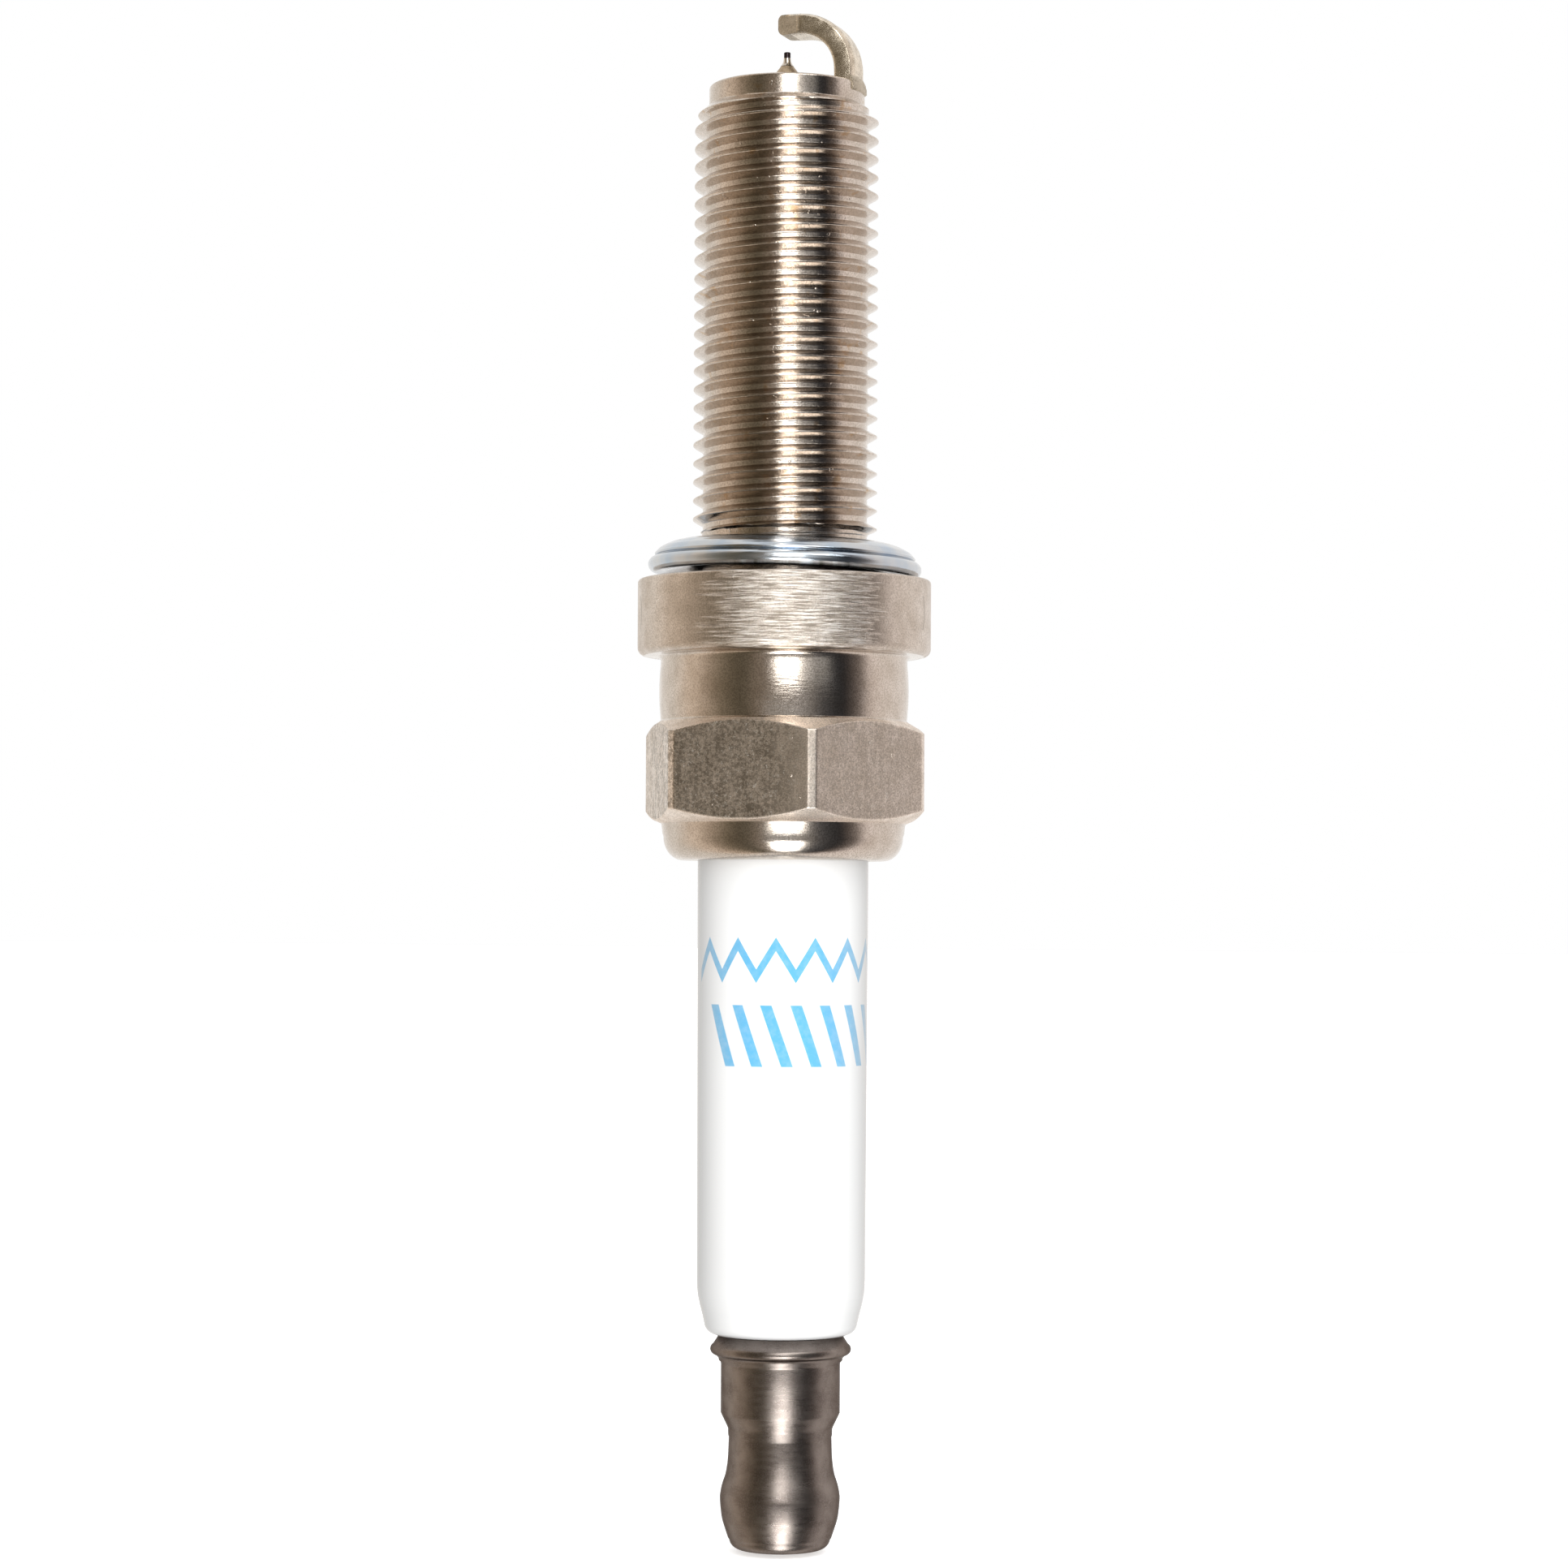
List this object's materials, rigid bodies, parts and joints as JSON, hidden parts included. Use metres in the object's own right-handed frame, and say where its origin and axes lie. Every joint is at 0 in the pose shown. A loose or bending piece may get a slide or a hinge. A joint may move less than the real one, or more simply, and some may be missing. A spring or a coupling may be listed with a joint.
{
  "type": "spark plug",
  "caption": "Long-reach motorcycle spark plug: threaded nickel-plated shell with hexagon, captive gasket, white glazed insulator, fine-wire tip, hooked ground electrode and solid terminal.",
  "frame": {"origin": "on the plug's axis in the plane of the seat, the flange's flat face under the gasket", "axes": "+Z along the axis towards the firing end, +X from the axis towards the ground electrode's root"},
  "size_m": [0.0158, 0.0158, 0.0825],
  "materials": {
    "nickel_plated_steel": "bright nickel plating with a warm tint",
    "nickel_alloy": "matte grained nickel alloy",
    "glazed_alumina": "glossy white glaze",
    "terminal_steel": "dark satin plating",
    "conductive_glass": "fused glass with copper powder",
    "resistor_glass": "sintered carbon and glass",
    "copper": "drawn copper",
    "fused_weld": "bright laser weld",
    "iridium": "dark drawn wire",
    "packing_steel": "plain steel",
    "talc": "pressed powder",
    "zinc_plated_steel": "bright zinc plating with a blue tint"
  },
  "bodies": {
    "plug": {"metal_shell": "nickel_plated_steel", "ground_electrode": "nickel_alloy", "insulator": "glazed_alumina", "terminal_stud": "terminal_steel", "rear_glass_seal": "conductive_glass", "resistor": "resistor_glass", "front_glass_seal": "conductive_glass", "centre_electrode": "nickel_alloy", "centre_electrode_core": "copper", "tip_weld_bead": "fused_weld", "iridium_tip": "iridium", "seat_packing": "packing_steel", "lower_wire_ring": "packing_steel", "talc_packing": "talc", "upper_wire_ring": "packing_steel"},
    "gasket_ring": {"gasket": "zinc_plated_steel"}
  },
  "joints": [
    {"name": "gasket_spin", "type": "hinge", "parent": "plug", "child": "gasket_ring", "pos_m": [0, 0, 0], "axis": [0, 0, 1], "continuous": true}
  ]
}
